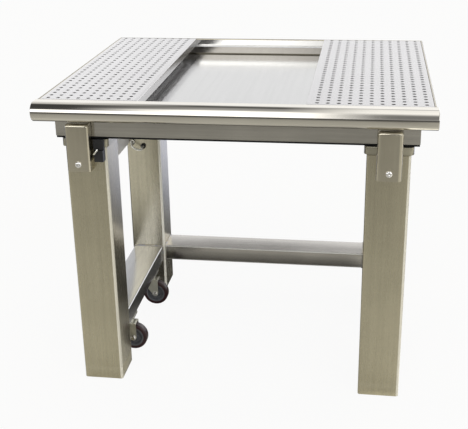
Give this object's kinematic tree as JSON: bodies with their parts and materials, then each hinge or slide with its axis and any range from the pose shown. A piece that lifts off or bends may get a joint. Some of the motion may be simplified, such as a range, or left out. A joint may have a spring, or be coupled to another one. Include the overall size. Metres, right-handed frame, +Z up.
{
  "type": "vibration isolation table",
  "caption": "Stainless vibration isolation table: square tube legs with air isolators, floating top with recessed tray between perforated panels, round nosed front bar, jack-down casters.",
  "frame": {"origin": "on the floor, under the middle of the platform's width and depth (bounding box bottom centre)", "axes": "+X to the right seen from the front, +Y to the rear, +Z up; the round nosed bar faces -Y"},
  "size_m": [0.92, 0.797, 0.762],
  "materials": {
    "leg_steel": "satin, vertical grain",
    "cap_steel": "satin",
    "beam_steel": "satin, lengthwise grain",
    "side_panel_steel": "satin",
    "bracket_steel": "satin",
    "bolt_steel": "bright",
    "perforated_steel": "satin, perforated",
    "frame_steel": "polished",
    "tray_steel": "polished",
    "bar_steel": "mirror polished",
    "deck_steel": "satin",
    "base_black": "black sheet",
    "diaphragm_rubber": "black rubber",
    "piston_zinc": "zinc plated",
    "valve_black": "black",
    "plunger_black": "black",
    "line_clear": "pale tube",
    "lift_plate_zinc": "zinc plated",
    "fork_zinc": "zinc plated",
    "axle_zinc": "zinc plated",
    "hub_grey": "dark grey",
    "tread_maroon": "maroon polyurethane"
  },
  "bodies": {
    "frame": {"leg_front_left": "leg_steel", "leg_rear_left": "leg_steel", "leg_front_right": "leg_steel", "leg_rear_right": "leg_steel", "lower_beam_left": "beam_steel", "lower_beam_right": "beam_steel", "lower_beam_rear": "beam_steel", "side_panel_left": "side_panel_steel", "side_panel_right": "side_panel_steel", "isolator_diaphragm_front_left": "diaphragm_rubber", "isolator_cap_front_left": "cap_steel", "isolator_diaphragm_rear_left": "diaphragm_rubber", "isolator_cap_rear_left": "cap_steel", "isolator_diaphragm_front_right": "diaphragm_rubber", "isolator_cap_front_right": "cap_steel", "isolator_diaphragm_rear_right": "diaphragm_rubber", "isolator_cap_rear_right": "cap_steel", "restraint_bracket_left": "bracket_steel", "bracket_bolt_left": "bolt_steel", "restraint_bracket_right": "bracket_steel", "bracket_bolt_right": "bolt_steel", "level_valve_front_left": "valve_black", "level_valve_rear_left": "valve_black", "level_valve_rear_right": "valve_black", "air_line_rear_left": "line_clear"},
    "platform": {"isolator_piston_front_left": "piston_zinc", "isolator_piston_rear_left": "piston_zinc", "isolator_piston_front_right": "piston_zinc", "isolator_piston_rear_right": "piston_zinc", "base_sheet": "base_black", "core_deck": "deck_steel", "deck_plate": "deck_steel", "top_frame": "frame_steel", "recess_tray": "tray_steel", "front_bar": "bar_steel", "perforated_panel_left": "perforated_steel", "perforated_panel_right": "perforated_steel"},
    "plunger_front_left": {"valve_plunger_front_left": "plunger_black"},
    "plunger_rear_left": {"valve_plunger_rear_left": "plunger_black"},
    "plunger_rear_right": {"valve_plunger_rear_right": "plunger_black"},
    "lift_front_left": {"caster_lift_plate_front_left": "lift_plate_zinc"},
    "swivel_front_left": {"caster_fork_front_left": "fork_zinc", "caster_axle_front_left": "axle_zinc"},
    "wheel_front_left": {"caster_hub_front_left": "hub_grey", "caster_tread_front_left": "tread_maroon"},
    "lift_rear_left": {"caster_lift_plate_rear_left": "lift_plate_zinc"},
    "swivel_rear_left": {"caster_fork_rear_left": "fork_zinc", "caster_axle_rear_left": "axle_zinc"},
    "wheel_rear_left": {"caster_hub_rear_left": "hub_grey", "caster_tread_rear_left": "tread_maroon"},
    "lift_front_right": {"caster_lift_plate_front_right": "lift_plate_zinc"},
    "swivel_front_right": {"caster_fork_front_right": "fork_zinc", "caster_axle_front_right": "axle_zinc"},
    "wheel_front_right": {"caster_hub_front_right": "hub_grey", "caster_tread_front_right": "tread_maroon"},
    "lift_rear_right": {"caster_lift_plate_rear_right": "lift_plate_zinc"},
    "swivel_rear_right": {"caster_fork_rear_right": "fork_zinc", "caster_axle_rear_right": "axle_zinc"},
    "wheel_rear_right": {"caster_hub_rear_right": "hub_grey", "caster_tread_rear_right": "tread_maroon"}
  },
  "joints": [
    {"name": "platform_float", "type": "slide", "parent": "frame", "child": "platform", "axis": [0, 0, 1], "range_m": [0, 0.012]},
    {"name": "plunger_slide_front_left", "type": "slide", "parent": "frame", "child": "plunger_front_left", "axis": [0, 0, 1], "range_m": [0, 0.012]},
    {"name": "plunger_slide_rear_left", "type": "slide", "parent": "frame", "child": "plunger_rear_left", "axis": [0, 0, 1], "range_m": [0, 0.012]},
    {"name": "plunger_slide_rear_right", "type": "slide", "parent": "frame", "child": "plunger_rear_right", "axis": [0, 0, 1], "range_m": [0, 0.012]},
    {"name": "caster_lift_front_left", "type": "slide", "parent": "frame", "child": "lift_front_left", "axis": [0, 0, -1], "range_m": [0, 0.012]},
    {"name": "caster_swivel_front_left", "type": "hinge", "parent": "lift_front_left", "child": "swivel_front_left", "pos_m": [-0.3325, -0.1575, 0.0395], "axis": [0, 0, 1], "continuous": true},
    {"name": "caster_spin_front_left", "type": "hinge", "parent": "swivel_front_left", "child": "wheel_front_left", "pos_m": [-0.3145, -0.1575, 0.0395], "axis": [0, 1, 0], "continuous": true},
    {"name": "caster_lift_rear_left", "type": "slide", "parent": "frame", "child": "lift_rear_left", "axis": [0, 0, -1], "range_m": [0, 0.012]},
    {"name": "caster_swivel_rear_left", "type": "hinge", "parent": "lift_rear_left", "child": "swivel_rear_left", "pos_m": [-0.3325, 0.115, 0.0395], "axis": [0, 0, 1], "continuous": true},
    {"name": "caster_spin_rear_left", "type": "hinge", "parent": "swivel_rear_left", "child": "wheel_rear_left", "pos_m": [-0.3145, 0.115, 0.0395], "axis": [0, 1, 0], "continuous": true},
    {"name": "caster_lift_front_right", "type": "slide", "parent": "frame", "child": "lift_front_right", "axis": [0, 0, -1], "range_m": [0, 0.012]},
    {"name": "caster_swivel_front_right", "type": "hinge", "parent": "lift_front_right", "child": "swivel_front_right", "pos_m": [0.3325, -0.1575, 0.0395], "axis": [0, 0, 1], "continuous": true},
    {"name": "caster_spin_front_right", "type": "hinge", "parent": "swivel_front_right", "child": "wheel_front_right", "pos_m": [0.3505, -0.1575, 0.0395], "axis": [0, 1, 0], "continuous": true},
    {"name": "caster_lift_rear_right", "type": "slide", "parent": "frame", "child": "lift_rear_right", "axis": [0, 0, -1], "range_m": [0, 0.012]},
    {"name": "caster_swivel_rear_right", "type": "hinge", "parent": "lift_rear_right", "child": "swivel_rear_right", "pos_m": [0.3325, 0.115, 0.0395], "axis": [0, 0, 1], "continuous": true},
    {"name": "caster_spin_rear_right", "type": "hinge", "parent": "swivel_rear_right", "child": "wheel_rear_right", "pos_m": [0.3505, 0.115, 0.0395], "axis": [0, 1, 0], "continuous": true}
  ],
  "couplings": [
    {"joint": "plunger_slide_front_left", "follows": "platform_float", "ratio": 1},
    {"joint": "plunger_slide_rear_left", "follows": "platform_float", "ratio": 1},
    {"joint": "plunger_slide_rear_right", "follows": "platform_float", "ratio": 1}
  ]
}
